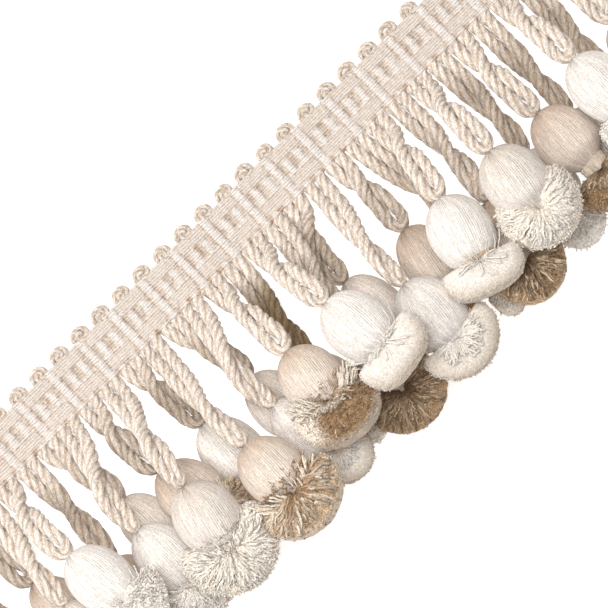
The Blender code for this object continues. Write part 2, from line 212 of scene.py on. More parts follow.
def yarn_finish(name, strand, run, turn, groove, dark, fuzz, grain, threads=()):
    """Matt yarn in the tint colour. Streaks a strand wide in mm and run times as long lie along the
    piece, turned by an angle: in the low ones it is painted darker and warmer as shade, down to a share
    of the colour, and lower by the groove; the high ones are painted a little lighter. Threads are even
    lines (direction, period in mm, darkening as painted shade between them, depth in mm) that waver a
    little. Over them lie fine fibres, with relief by the fuzz and contrast by the grain."""
    material = bpy.data.materials.new(name)
    material.use_nodes = True
    nodes, links = material.node_tree.nodes, material.node_tree.links
    shader = set_up(nodes["Principled BSDF"], {"Roughness": 0.88, "Specular IOR Level": 0.22,
                                               "Sheen Weight": 0.12, "Sheen Roughness": 0.45})
    tint = nodes.new("ShaderNodeAttribute")
    tint.attribute_name = "tint"
    lay = nodes.new("ShaderNodeUVMap")
    lay.uv_map = "lay"
    turned = set_up(nodes.new("ShaderNodeMapping"), {"Rotation": (0.0, 0.0, turn)})
    links.new(lay.outputs["UV"], turned.inputs["Vector"])
    marks = []
    broad, fine = (strand * 3.4, (1 - dark) / 2, groove * 2), (strand, 1 - dark, groove)
    for width, groove_shade, depth in (broad, fine):
        stretch = (1.9 / width, 1.9 / (width * run), 1.0)
        drawn = set_up(nodes.new("ShaderNodeMapping"), {"Scale": stretch})
        links.new(turned.outputs["Vector"], drawn.inputs["Vector"])
        streak = set_up(nodes.new("ShaderNodeTexNoise"), {"Scale": 1.0, "Detail": 1.0})
        links.new(drawn.outputs["Vector"], streak.inputs["Vector"])
        marks.append((streak, 0.32, 0.66, 1 - groove_shade, 1 + groove_shade * 0.7, depth))
    for direction, period, groove_shade, depth in threads:
        wave = set_up(nodes.new("ShaderNodeTexWave"), {"Scale": math.pi / 10 / period, "Distortion": 2.2,
                                                       "Detail": 1.0, "Detail Scale": 0.35 / period})
        wave.bands_direction = direction
        links.new(turned.outputs["Vector"], wave.inputs["Vector"])
        marks.append((wave, 0.0, 0.6, 1 - groove_shade, 1 + groove_shade * 0.3, depth))
    spot = nodes.new("ShaderNodeTexCoord")
    fibre = set_up(nodes.new("ShaderNodeTexNoise"), {"Scale": 1700.0, "Detail": 2.0})
    links.new(spot.outputs["Object"], fibre.inputs["Vector"])
    marks.append((fibre, 0.34, 0.64, 1 - 1.3 * grain, 1 + 0.8 * grain, fuzz))
    colour, normal = tint.outputs["Color"], None
    for source, least, most, low, high, depth in marks:
        spread = set_up(nodes.new("ShaderNodeMapRange"), {"From Min": least, "From Max": most})
        links.new(source.outputs["Fac"], spread.inputs["Value"])
        shade = nodes.new("ShaderNodeMix")
        shade.data_type = "RGBA"
        # painted shade and highlight: each mark's low end is darker and warmer, its high end lighter
        shade.inputs["A"].default_value = (low ** 0.88, low, low ** 1.14, 1.0)
        shade.inputs["B"].default_value = (high, high, high, 1.0)
        links.new(spread.outputs["Result"], shade.inputs["Factor"])
        blend = nodes.new("ShaderNodeMix")
        blend.data_type = "RGBA"
        blend.blend_type = "MULTIPLY"
        blend.inputs["Factor"].default_value = 1.0
        links.new(colour, blend.inputs["A"])
        links.new(shade.outputs["Result"], blend.inputs["B"])
        colour = blend.outputs["Result"]
        relief = set_up(nodes.new("ShaderNodeBump"), {"Distance": depth * MM})
        links.new(source.outputs["Fac"], relief.inputs["Height"])
        if normal:
            links.new(normal, relief.inputs["Normal"])
        normal = relief.outputs["Normal"]
    links.new(colour, shader.inputs["Base Color"])
    links.new(normal, shader.inputs["Normal"])
    return material


def ridge(place, half):
    """A half round: the root of 1 - (place / half)^2, and 0 past the half width."""
    return np.sqrt(np.clip(1 - (place / half) ** 2, 0, 1))


def soft_line(value, place, half):
    """A bell, 1 at a place: e to the power of minus (the distance from it / half)^2."""
    return np.exp(-((value - place) / half) ** 2)


def braid_surface(x, y):
    """Height and colour over the braid. A rib is a half round across its width, dipped where a warp
    line crosses it; blocks are low cushions; the window between short ribs is sunk. The colour takes
    a painted shade toward tan in the gaps, dips and sunk parts."""
    # how each warp thread wanders along its row, and how the weft threads differ
    threads = np.random.default_rng(3)
    row = np.round((BRAID_TOP - y) / WARP_STEP).astype(int)
    knots = threads.normal(0.0, 1.0, (row.max() + 1, WANDERS + 2))
    place = (x + BRAID_LENGTH / 2) / BRAID_LENGTH * WANDERS
    low = np.floor(place).astype(int)
    uneven = knots[row, low] * (1 - (place - low)) + knots[row, low + 1] * (place - low)
    weft = np.round((x + BRAID_LENGTH / 2) / WEFT_STEP).astype(int)
    cross = threads.normal(0.0, 1.0, weft.max() + 1)[weft]
    # along the braid: ribs, and half a step from them windows between short ribs
    sway = 0.12 * knots[row, 0] + 0.10 * uneven
    from_rib = (x + sway - FIRST_RIB + RIB_STEP / 2) % RIB_STEP - RIB_STEP / 2
    from_window = (x + sway - FIRST_RIB) % RIB_STEP - RIB_STEP / 2
    beside_rib = np.abs(from_rib) - RIB_HALF
    full_rib = ridge(from_rib, RIB_HALF)
    short_rib = ridge(np.abs(from_window) - SHORT_RIB_OFF, SHORT_RIB_HALF)
    window = 1 - step_up(np.abs(from_window), 0.6, 1.3)
    off_rib = step_up(beside_rib, -0.1, 0.35)
    # across it: a block, the middle with its windows, a block again and the selvedge
    in_middle = step_up(y, -2.7, -2.2) * (1 - step_up(y, 3.3, 3.8))
    in_band = step_up(y, SELVEDGE_TOP - 0.1, SELVEDGE_TOP + 0.3)
    selvedge = 1 - in_band
    block = off_rib * (1 - in_middle)
    middle = off_rib * in_middle
    light_row = soft_line(y, -1.85, 0.45)
    row_edge = soft_line(y, -2.55, 0.22) + soft_line(y, 3.60, 0.22)
    # the threads' own relief
    warp = np.abs(np.sin(math.pi * (y - 0.2) / 1.22)) ** 0.6
    fine_warp = 0.5 + 0.5 * np.cos(2 * math.pi * y / WARP_STEP)
    stitch = 0.5 + 0.5 * np.cos(2 * math.pi * x / 1.05 + 2.0 * np.round(y / WARP_STEP))
    rung = soft_line(beside_rib, 0.0, 0.30) * (0.35 + 0.65 * (1 - fine_warp)) * in_band
    float_end = np.maximum(full_rib, short_rib) * selvedge
    lip = np.sqrt(np.clip((y - SELVEDGE_LOW) / 0.6, 0, 1))

    height = GROUND + full_rib * (0.58 + 0.33 * warp)
    height += block * (0.44 + 0.05 * stitch)
    height += middle * (short_rib * (0.28 + 0.30 * warp) - 0.34 * window)
    height -= 0.22 * rung + 0.20 * row_edge * off_rib
    edge_height = 0.9 + 1.55 * lip + 0.10 * stitch + 0.35 * full_rib * selvedge + 0.25 * float_end
    height = height * in_band + edge_height * selvedge
    height -= 0.6 * np.exp(-(BRAID_TOP - y) / 0.35)
    height += 0.05 * uneven + 0.03 * cross

    ivory, ecru, tan = dye(243, 239, 237), dye(227, 218, 210), dye(180, 153, 128)
    # ivory floats on ecru, with painted shade where the warp dips a float
    light = np.maximum(full_rib ** 0.8, float_end ** 0.8)
    light = np.maximum(light, middle * np.maximum(short_rib ** 0.8, light_row))
    light = light * (0.45 + 0.55 * warp) * np.clip(1 + 0.25 * uneven, 0, 1.2)
    colour = ecru + (ivory - ecru) * light[..., None]
    # painted shade toward tan in the gaps, rungs, window, row edges and selvedge dips, with random
    # unevenness
    gap_shade = rung * 0.75 + middle * (window * 0.14 + (1 - short_rib) * 0.26) * (1 - 0.7 * light_row)
    gap_shade += row_edge * off_rib * 0.30 + selvedge * (1 - float_end) * 0.30
    gap_shade += (0.6 * block + 0.6 * middle + 0.3 * selvedge) * (1 - fine_warp) ** 2 * 0.20
    gap_shade += full_rib * in_band * (1 - warp) * 0.30
    gap_shade += soft_line(y, -6.85, 0.3) * 0.22 + selvedge * window * 0.28
    gap_shade += selvedge * soft_line(y, SELVEDGE_LOW, 0.4) * 0.30
    gap_shade = gap_shade * (1 + 0.45 * uneven) + 0.08 * uneven + 0.05 * cross * in_band
    return height, colour + (tan - colour) * np.clip(gap_shade, 0, 1)[..., None]


braid_yarn = yarn_finish("woven_ecru", 0.5, 3.0, 0.0, 0.10, 0.90, 0.06, 0.13,
                         (("X", WARP_STEP, 0.20, 0.16), ("Y", WEFT_STEP, 0.07, 0.06)))
along_braid = np.linspace(-BRAID_LENGTH / 2, BRAID_LENGTH / 2, BRAID_COLUMNS)
face_x, face_y = np.meshgrid(along_braid, np.linspace(BRAID_TOP, SELVEDGE_LOW, BRAID_ROWS), indexing="ij")
face_height, face_colour = braid_surface(face_x, face_y)
face_points = np.stack([face_x, face_y, face_height], -1)
back_x, back_y = np.meshgrid(along_braid, (SELVEDGE_LOW, -3.0, 3.0, BRAID_TOP), indexing="ij")
back_points = np.stack([back_x, back_y, np.full(back_x.shape, BACK_RISE)], -1)
back_colour = np.ones(back_points.shape) * dye(236, 221, 200)
braid_rings = np.concatenate([face_points, back_points], axis=1)
braid_tint = np.concatenate([face_colour, back_colour], axis=1)
# the face takes up all but the back's corners of each ring, and its threads run true over its width
braid_girth = braid_rings.shape[1] / (BRAID_ROWS - 1) * BRAID_WIDTH
braid_parts = [(braid_rings[None], braid_tint[None], braid_girth, along_braid[None])]
braid = made_piece("woven_braid", *joined(braid_parts), braid_yarn, "heading_braid")
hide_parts("heading")


# The picots. Small rolled scallops along the braid's upper edge, one for each loop: a fine cord comes
# out of the edge, over the top, and curls in on itself for a turn and three quarters.
PICOT_REACH = 2.6
PICOT_CORD = 0.98
PICOT_GROOVE = 0.22
PICOT_GIRTH = 6.0
PICOT_LEAD = 6.5


def unit(vectors):
    """Each vector at length 1."""
    return vectors / np.linalg.norm(vectors, axis=-1, keepdims=True)


def way_gone(path):
    """How far along a path of points, (n, 3), each one lies."""
    return np.concatenate([[0.0], np.cumsum(np.linalg.norm(np.diff(path, axis=0), axis=1))])


def plied(path, radius, plies, lead, corners, depth, phase=0.0):
    """Rings of a plied cord along a path (rings, 3). Across, its radius is 1 on each ply and less by
    the depth in a sharp groove between them; along, the plies turn once in each lead, Z-wise."""
    forward = unit(np.gradient(path, axis=0))
    side = unit(np.cross(forward, (0.0, 0.0, 1.0)))
    rise = np.cross(side, forward)
    around = np.arange(corners) / corners * 2 * math.pi
    share = 1 - depth + depth * np.abs(np.cos(around * plies / 2)) ** 0.75
    gone = way_gone(path)
    turned = around[None] - 2 * math.pi * gone[:, None] / lead + np.reshape(phase, (-1, 1))
    reach = np.asarray(radius).reshape(-1, 1) * share[None]
    rings = path[:, None] + reach[..., None] * (side[:, None] * np.cos(turned)[..., None]
                                                + rise[:, None] * np.sin(turned)[..., None])
    return rings, gone, share


curl = np.linspace(0.0, 1.0, 40)
curl_angle = math.radians(205) - math.radians(640) * curl
curl_reach = PICOT_REACH * (1.0 - 0.97 * curl ** 1.1)
# painted shade: each picot goes from its crest colour to a darker one in the groove between its plies
picot_crest, picot_groove_shade = dye(234, 225, 217), dye(204, 186, 167)
picot_parts = []
picot_seeds = np.random.default_rng(11)
for number in range(1 - LOOPS // 2, LOOPS // 2):
    lean = picot_seeds.normal(0.0, 0.10)
    size = picot_seeds.uniform(0.93, 1.05)
    turn = picot_seeds.uniform(0.0, 6.0)
    path = np.stack([number * PITCH + 0.25 + 1.24 * size * curl_reach * np.cos(curl_angle + lean),
                     BRAID_TOP + 0.85 + size * curl_reach * np.sin(curl_angle + lean),
                     1.05 + 0.4 * np.sin(math.pi * curl) + 0.50 * curl], -1)
    rings, gone, share = plied(path, PICOT_CORD, 2, PICOT_LEAD, 8, PICOT_GROOVE, turn)
    crest = (share[None, :, None] - (1 - PICOT_GROOVE)) / PICOT_GROOVE
    tint = picot_groove_shade + (picot_crest - picot_groove_shade) * crest
    picot_parts.append((rings[None], tint[None], PICOT_GIRTH, gone[None]))
cord_yarn = yarn_finish("plied_ecru", 0.45, 6.0, math.radians(14), 0.16, 0.74, 0.14, 0.20)
made_piece("picots", *joined(picot_parts), cord_yarn, "heading_braid")


# The bullion loops. Four-ply ecru cord, over 4 mm thick, leaves the selvedge in pairs of legs. They
# lie side by side, cross once and close in a small eye at their tassel's top, short and long by turns.
STRIP_WIDTH = 2.25
CORD_RADIUS = 2.1
CORD_PLIES = 4
CORD_LEAD = 17.0
CORD_GROOVE = 0.26
CORD_SIDES = 16
CORD_STEP = 0.90
CORD_GIRTH = 13.2
CORD_SHIFT = 0.08
EYE_PUSH = 6.1
LEG_OFFSET = 2.27
EYE_RADIUS = 2.6
SOLID_LAY = (0.2, 0.8, LEG_OFFSET, EYE_RADIUS)
SHORT_AND_LONG_LAY = ((0.10, 0.72, 2.05, 2.45), (0.20, 1.12, 2.20, 1.30))
ROOT_RISE = CORD_RADIUS * 0.6 + 0.15
LEG_STEP = 5.4
HIGHEST_ARCH = 40.5
HEAD_LENGTH = 23.5
HEAD_MIDDLE = 11.5
# number, layer, sideways shift, reach, half girth, swing and rise in degrees, ruff's half width
TASSELS = (
    (1, 0, -3.0, 53.0, 8.8, 0, 0, 10.0), (2, 0, 4.5, 40.0, 8.6, 8, 0, 8.0),
    (3, 2, -4.0, 52.0, 10.0, -4, -2, 14.0), (4, 3, 1.5, 41.5, 10.0, 14, 14, 13.5),
    (5, 0, -1.5, 53.0, 8.8, -6, 0, 10.0), (6, 0, 6.0, 41.0, 8.8, 0, 0, 9.0),
    (7, 2, -6.5, 51.5, 9.6, 13, -4, 13.5), (8, 1, 4.0, 42.5, 10.4, 16, 4, 12.5),
    (9, 3, -6.5, 51.5, 10.8, -7, -10, 17.5), (10, 0, 4.0, 42.0, 10.0, 2, 0, 8.0),
    (11, 3, 0.0, 56.0, 10.4, 6, 18, 16.5), (12, 0, 7.0, 42.0, 9.4, -4, 0, 8.6),
    (13, 2, -2.0, 53.5, 8.8, 20, -2, 12.0), (14, 3, 1.5, 44.0, 10.2, -6, 22, 15.6),
    (15, 0, -4.0, 51.5, 8.4, -4, 0, 8.2), (16, 3, 5.0, 41.5, 10.6, 11, 16, 14.5),
    (17, 1, -7.0, 56.5, 7.6, -6, 6, 15.5), (18, 0, -5.2, 41.5, 8.6, 18, 0, 6.6),
    (19, 2, -3.0, 55.5, 10.6, 4, 0, 15.5), (20, 0, -0.5, 43.0, 9.2, -10, 0, 6.6),
    (21, 0, 2.5, 56.0, 8.0, -18, 0, 6.8), (22, 3, -6.0, 43.5, 10.6, -17, 16, 14.8),
    (23, 1, -5.0, 55.0, 8.4, -20, 8, 14.0), (24, 3, -1.0, 44.2, 10.6, -4, -4, 15.0),
    (25, 0, -2.0, 53.0, 8.6, -12, 0, 11.0), (26, 3, 1.5, 46.5, 10.0, 5, 8, 14.0),
    (27, 0, 0.0, 54.0, 8.6, 0, 0, 9.6), (28, 3, 2.5, 42.0, 10.0, 1, 12, 13.5),
    (29, 0, 0.0, 54.0, 8.6, 4, 0, 9.6), (30, 3, 2.5, 42.5, 10.0, 2, 10, 13.5),
)


def axis_frame(lean, rise):
    """Unit vectors along an axis that leans sideways and rises, to its side, and up from it."""
    along = np.array([math.sin(lean) * math.cos(rise), -math.cos(lean) * math.cos(rise), math.sin(rise)])
    side = np.array([math.cos(lean), math.sin(lean), 0.0])
    return along, side, np.cross(along, side)


def packed_corners(node):
    """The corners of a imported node's mesh, (n, 3) in mm."""
    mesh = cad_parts[node].data
    spots = np.empty(len(mesh.vertices) * 3)
    mesh.vertices.foreach_get("co", spots)
    return spots.reshape(-1, 3) / MM


def packed_lay(number, shift, reach, swing, rise):
    """A tassel's middle and its head's and ruff's axes, at the height where its solid rests: the
    solid's corner furthest back along the head's axis is the head's top."""
    slant = math.atan2(shift, reach)
    head_axes = axis_frame((slant + math.radians(swing)) / 2, math.radians(rise) * 0.8)
    ruff_axes = axis_frame(math.radians(swing), math.radians(rise))
    spots = packed_corners(f"tassel_{number:02d}")
    pole = spots[np.argmin(spots @ head_axes[0])]
    middle = np.array([(number - (LOOPS + 1) / 2) * PITCH + shift, SELVEDGE_LOW - reach,
                       pole[2] + head_axes[0][2] * HEAD_MIDDLE])
    return middle, head_axes, ruff_axes


def loop_line(number, top, along, arch, share):
    """The middle between a loop's legs: a cubic from the selvedge to the eye, raised by the arch."""
    root = np.array([(number - (LOOPS + 1) / 2) * PITCH, SELVEDGE_LOW + STRIP_WIDTH / 2, ROOT_RISE])
    eye = top - along * (EYE_RADIUS + CORD_RADIUS + 0.3)
    reach = np.linalg.norm(eye - root)
    leave = root + np.array([0.0, -0.30 * reach, arch])
    arrive = eye - along * (0.35 * reach) + np.array([0.0, 0.0, arch * 0.6])
    share = np.asarray(share)[:, None]
    back = 1 - share
    return (root * back ** 3 + leave * (3 * back ** 2 * share) + arrive * (3 * back * share ** 2)
            + eye * share ** 3)


def loop_path(line, steps, lay):
    """Down one leg, round the eye and up the other, about a line given by its number, top, axis and
    arch. The lay is the shares of the way between which the legs turn half round that line, the right
    one over the left, and how far from it they lie, there and at the eye."""
    along = line[2]
    turn_start, turn_end, leg_offset, eye_radius = lay
    ends = loop_line(*line, [0.0, 1.0])
    length = np.linalg.norm(ends[1] - ends[0])
    legs = max(4, round(length / LEG_STEP)) * steps
    side_end = axis_frame(math.atan2(along[0], -along[1]), 0.0)[1]
    share = np.linspace(0.0, 1.0, legs + 1)
    middle = loop_line(*line, share)
    forward = unit(loop_line(*line, np.minimum(share + 0.02, 1.0))
                   - loop_line(*line, np.maximum(share - 0.02, 0.0)))
    side = np.array([1.0, 0.0, 0.0]) * (1 - share[:, None]) + side_end * share[:, None]
    side = unit(side - forward * np.sum(side * forward, axis=1)[:, None])
    rise = np.cross(forward, side)
    turn = math.pi * step_up(share, turn_start, turn_end)
    wide = PITCH / 4 + (leg_offset - PITCH / 4) * np.minimum(1.0, share * 4)
    wide = wide + (eye_radius - leg_offset) * np.maximum(0.0, share * 5 - 4)
    offset = (side * np.cos(turn)[:, None] + rise * np.sin(turn)[:, None]) * wide[:, None]
    lift = np.maximum(0.0, CORD_RADIUS + wide * np.abs(np.sin(turn)) - middle[:, 2])
    middle[:, 2] += lift * np.minimum(1.0, share * legs / steps)
    down, up = middle + offset, middle - offset
    first = (down[-1] - up[-1]) / 2
    bend = np.linspace(0.0, math.pi, 4 * steps + 1)[1:-1, None]
    eye = ends[1] + first * np.cos(bend) + along * eye_radius * np.sin(bend)
    return np.concatenate([down, eye, up[::-1]])


def found_arch(number, top, along, corners):
    """The arch at which the loop's points come closest to a cord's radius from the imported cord's
    corners, by the sum of their misses. A squared distance is a^2 + b^2 - 2 a.b."""
    arches = np.arange(0.0, HIGHEST_ARCH, 0.5)
    points = np.concatenate([loop_path((number, top, along, arch), 1, SOLID_LAY)[1:-1] for arch in arches])
    apart = np.sum(points ** 2, axis=1)[:, None] + np.sum(corners ** 2, axis=1) - 2 * points @ corners.T
    nearest = np.sqrt(np.maximum(np.min(apart, axis=1), 0.0)).reshape(len(arches), -1)
    return arches[np.argmin(np.sum(np.abs(nearest - CORD_RADIUS), axis=1))]


def eased_path(path, along, eye_radius):
    """A loop's path as means of 7 neighbours, the eye pushed on toward the head, dealt out again in
    even steps, and how far along it each step is."""
    padded = np.pad(path, ((3, 3), (0, 0)), mode="edge")
    eased = np.stack([np.convolve(padded[:, axis], np.ones(7) / 7, "valid") for axis in range(3)], -1)
    eased[0], eased[-1] = path[0], path[-1]
    at_eye = soft_line(np.arange(len(path)), len(path) / 2, len(path) * 0.07)
    eased += along * ((EYE_PUSH - eye_radius - CORD_RADIUS) * at_eye)[:, None]
    gone = way_gone(eased)
    even = np.linspace(0.0, gone[-1], round(gone[-1] / CORD_STEP))
    return np.stack([np.interp(even, gone, eased[:, axis]) for axis in range(3)], -1), even


def dressed_cord(path, even, shade_share, seeds):
    """A loop's cord. Its thickness is a sum of three slow waves, less in the eye, and flat at the
    selvedge. Its colour goes from light on a ply to a darker painted shade in a groove, and takes a
    painted shade by the shade share from the root on, where the loop lies under others."""
    from_root = np.minimum(even, even[-1] - even)
    uneven = sum(seeds.uniform(0.3, 1.0) * np.sin(even / step + seeds.uniform(0, 6))
                 for step in (1.7, 3.1, 5.3))
    in_eye = soft_line(from_root, even[-1] / 2, 5.0)
    thick = CORD_RADIUS * (1.13 + 0.04 * uneven) * (1 - 0.14 * in_eye)
    path[:, 2] = np.maximum(path[:, 2], thick + 0.05)
    turn = seeds.uniform(0, 6) + 0.34 * uneven
    rings, gone, share = plied(path, thick, CORD_PLIES, CORD_LEAD, CORD_SIDES, CORD_GROOVE, turn)
    rings[..., 2] *= 0.50 + 0.50 * step_up(from_root, 0.2, 2.4)[:, None]
    from_root = from_root / (gone[-1] / 2)
    # painted shade: loops that lie under others turn darker and warmer from near the root on
    painted_shade = 1 - shade_share * step_up(from_root, 0.12, 0.50)[:, None, None] * PAINTED_SHADE_HUE
    crest = (share[None, :, None] - (1 - CORD_GROOVE)) / CORD_GROOVE
    # painted shade: the cord's colour darkens from a ply's crest into the groove between plies
    light, groove_shade_dye = dye(240, 232, 225), dye(201, 181, 161)
    mottle = 1 + seeds.normal(0.0, 0.05, (len(path), CORD_SIDES, 1))
    tint = (groove_shade_dye + (light - groove_shade_dye) * crest ** 0.7) * mottle * painted_shade
    return rings[None], tint[None], CORD_GIRTH, gone[None]


# painted shade on loops that lie under others: how much darker the loops of each layer are, some that lie
# in another's shade, and the shade's hue
PAINTED_LAYER_SHADE = (0.36, 0.16, 0.0, 0.0)
PAINTED_LOOP_SHADE = {15: 0.74, 20: 0.20, 8: 0.30, 6: 0.25}
PAINTED_SHADE_HUE = np.array([0.92, 1.0, 1.12])
skirt_corners = np.unique(packed_corners("cord_skirt"), axis=0)
tassel_lay = {}
loop_parts = []
loop_seeds = np.random.default_rng(5)
for number, layer, shift, reach, girth, swing, rise, half_width in TASSELS:
    tassel_lay[number] = packed_lay(number, shift, reach, swing, rise)
    middle, (along, _, _), _ = tassel_lay[number]
    top = middle - along * HEAD_MIDDLE
    line = (number, top, along, found_arch(number, top, along, skirt_corners))
    turn_start, turn_end, leg_offset, eye_radius = SHORT_AND_LONG_LAY[number % 2]
    early = loop_seeds.uniform(-CORD_SHIFT, CORD_SHIFT)
    eye_radius = eye_radius * loop_seeds.uniform(0.92, 1.05)
    lay = (turn_start + early, turn_end + early, leg_offset, eye_radius)
    path, even = eased_path(loop_path(line, 12, lay), along, eye_radius)
    loop_parts.append(dressed_cord(path, even, PAINTED_LOOP_SHADE.get(number, PAINTED_LAYER_SHADE[layer]), loop_seeds))
loops = made_piece("bullion_loops", *joined(loop_parts), cord_yarn, "cord_ecru")
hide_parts("cord_skirt")


# The tassels' heads. Yarn is drawn over a soft core from the loop down and gathered at the neck, in
# ivory, beige or cream by turns, so that fine strands run from top to neck with a few soft gathers.
YARNS = ((dye(240, 233, 227), "yarn_cream"), (dye(247, 243, 240), "yarn_white"),
         (dye(232, 219, 208), "yarn_beige"))
# painted shade at the heads' tops, by yarn, and its hue
PAINTED_TOP_SHADE = (0.13, 0.06, 0.26)
TOP_SHADE_HUE = np.array([0.7, 1.0, 1.25])
SQUASH_HEAD = (0.76, 0.76, 0.84, 0.84)
HEAD_RINGS = 26
HEAD_SIDES = 52
GATHER_DEPTH = 0.022
WIDE_NECKED = (4, 7, 9, 16, 19, 22, 28, 30)
head_yarn = yarn_finish("drawn_yarn", 0.7, 14.0, math.radians(4), 0.14, 0.82, 0.10, 0.13,
                        (("X", 0.78, 0.19, 0.12),))


def curve_through(places, values, at):
    """A smooth curve through values at places: cubic between them, with each one's mean slope."""
    places, values = np.asarray(places), np.asarray(values)
    slopes = np.gradient(values, places)
    index = np.clip(np.searchsorted(places, at) - 1, 0, len(places) - 2)
    width = places[index + 1] - places[index]
    share = (at - places[index]) / width
    return (values[index] * (2 * share ** 3 - 3 * share ** 2 + 1)
            + slopes[index] * width * (share ** 3 - 2 * share ** 2 + share)
            + values[index + 1] * (3 * share ** 2 - 2 * share ** 3)
            + slopes[index + 1] * width * (share ** 3 - share ** 2))


def turned_rings(middle, axes, place, reach, squash):
    """Rings at places along an axis, with a reach (rings, corners), flattened by the squash and kept
    above the table."""
    along, side, up = axes
    angle = np.arange(reach.shape[1]) / reach.shape[1] * 2 * math.pi
    spot = (middle + along * place[:, None, None] + side * (reach * np.cos(angle))[..., None]
            + up * (reach * np.sin(angle) * squash)[..., None])
    spot[..., 2] = np.maximum(spot[..., 2], 0.02)
    return spot


def head_rings(middle, axes, girth, squash, seed, neck_share):
    """The onion outline turned about the head's axis, with gathers: low waves round the head, of a
    few wave counts, deepest at the neck and the top."""
    seeds = np.random.default_rng(seed)
    down = 0.5 - 0.5 * np.cos(np.linspace(0.0, math.pi, HEAD_RINGS))
    outline = np.array([(0.0, 0.03), (0.02, 0.24), (0.05, 0.40), (0.12, 0.62), (0.20, 0.77), (0.33, 0.92),
                        (0.50, 1.0), (0.66, 1.0), (0.82, 0.91), (0.93, neck_share + 0.16),
                        (1.0, neck_share)])
    reach = curve_through(*outline.T, down) * girth
    angle = np.arange(HEAD_SIDES) / HEAD_SIDES * 2 * math.pi
    gather = np.zeros((HEAD_RINGS, HEAD_SIDES))
    for waves in (5, 9, 14, 19, 25):
        drift = seeds.uniform(0, 6.28) + seeds.normal(0, 0.6) * down[:, None]
        gather += np.cos(waves * angle + drift) * seeds.uniform(0.4, 1.0) / waves ** 0.5
    pull = 0.25 + 0.75 * np.abs(2 * down - 1) ** 1.5
    reach = reach[:, None] * (1 + GATHER_DEPTH * gather * pull[:, None])
    rings = turned_rings(middle, axes, down * HEAD_LENGTH - HEAD_MIDDLE, reach, squash)
    return rings, down * HEAD_LENGTH, gather


# The necks. Fine tan thread is wound a few times round each neck, over the ends of the head's yarn.
# Two tassels that show theirs have thread of their own colour, and one of them a longer winding.
TIE_HALF = 1.3
TIE_THREAD = 0.65
TIES = {22: (dye(206, 182, 152), TIE_HALF), 26: (dye(236, 224, 206), 2.9)}


def tie_rings(neck, axes, reach, squash, half_long):
    """Rings of a tie: a short barrel with rounded turns of thread along it."""
    place = np.linspace(-half_long, half_long, 13)
    bulge = reach * (0.93 + 0.10 * np.sqrt(1 - (place / (half_long + 0.05)) ** 2))
    bulge = bulge + 0.16 * np.abs(np.sin(place * math.pi / TIE_THREAD))
    return turned_rings(neck, axes, place, bulge[:, None] * np.ones(20), squash), place


def made_head(number, girth, squash, neck_share, tie_dye, half_tie):
    """A tassel's head with its tie. Its yarn is painted lighter on a gather than between, as light and
    shade on the folds, and painted darker and warmer from the top to the middle, as shade."""
    middle, axes, _ = tassel_lay[number]
    yarn, slot = YARNS[number % 3]
    rings, down, gather = head_rings(middle, axes, girth, squash, number, neck_share)
    wave = gather[..., None]
    top_shade = PAINTED_TOP_SHADE[number % 3] * (1 - step_up(down, 0.5, 13.0))[:, None, None]
    # painted light and shade: lighter on a gather's crest than between, darker and warmer from the top to
    # the middle
    shade = (1 + 0.04 * wave) * (1 - top_shade * (1 + 0.5 * wave) * TOP_SHADE_HUE)
    tie_middle = middle + axes[0] * (HEAD_LENGTH - HEAD_MIDDLE + half_tie - TIE_HALF)
    ties, place = tie_rings(tie_middle, axes, (neck_share - 0.02) * girth, squash, half_tie)
    around = 2 * math.pi * girth
    parts = [(rings[None], (yarn * shade)[None], around, down[None]),
             (ties[None], tie_dye[None, None, None], around, place[None])]
    head = made_piece(f"onion_head_{number:02d}", *joined(parts), head_yarn, slot)
    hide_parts(f"tassel_{number:02d}")


# The ruffs. Below the neck the yarn is cut short and springs out into a flared brush. Some lie
# as a fan of tufts about the neck, some as a smooth pillow, and some turn their cut face up.
RUFF_LENGTH = 15.0
SQUASH_RUFF = (0.66, 0.66, 0.58, 0.58)
ruff_yarn = yarn_finish("cut_yarn", 0.5, 3.0, math.radians(35), 0.10, 0.92, 0.22, 0.26)
satin_yarn = yarn_finish("satin_yarn", 0.5, 6.0, math.radians(90), 0.10, 0.86, 0.10, 0.13)
# each yarn's colour at the neck, at its end, and in the pile of its cut face
RUFF_DYES = {"cream": (dye(243, 234, 221), dye(252, 247, 239), dye(245, 237, 226)),
             "white": (dye(250, 244, 237), dye(254, 250, 245), dye(250, 245, 239)),
             "satin": (dye(244, 238, 231), dye(251, 246, 240), dye(244, 237, 229)),
             "muslin": (dye(243, 236, 227), dye(250, 245, 238), dye(238, 230, 220)),
             "beige": (dye(182, 149, 113), dye(243, 230, 212), dye(211, 187, 158)),
             "tan": (dye(168, 139, 107), dye(248, 238, 224), dye(158, 129, 98)),
             "brown": (dye(129, 101, 73), dye(234, 211, 181), dye(174, 145, 111))}
DARK_YARNS = ("brown", "beige", "tan")
SMOOTH_YARNS = ("satin", "muslin")
CRIMP = {"brown": 0.13, "beige": 0.17, "tan": 0.14}
PLAIN_CRIMP = 0.10
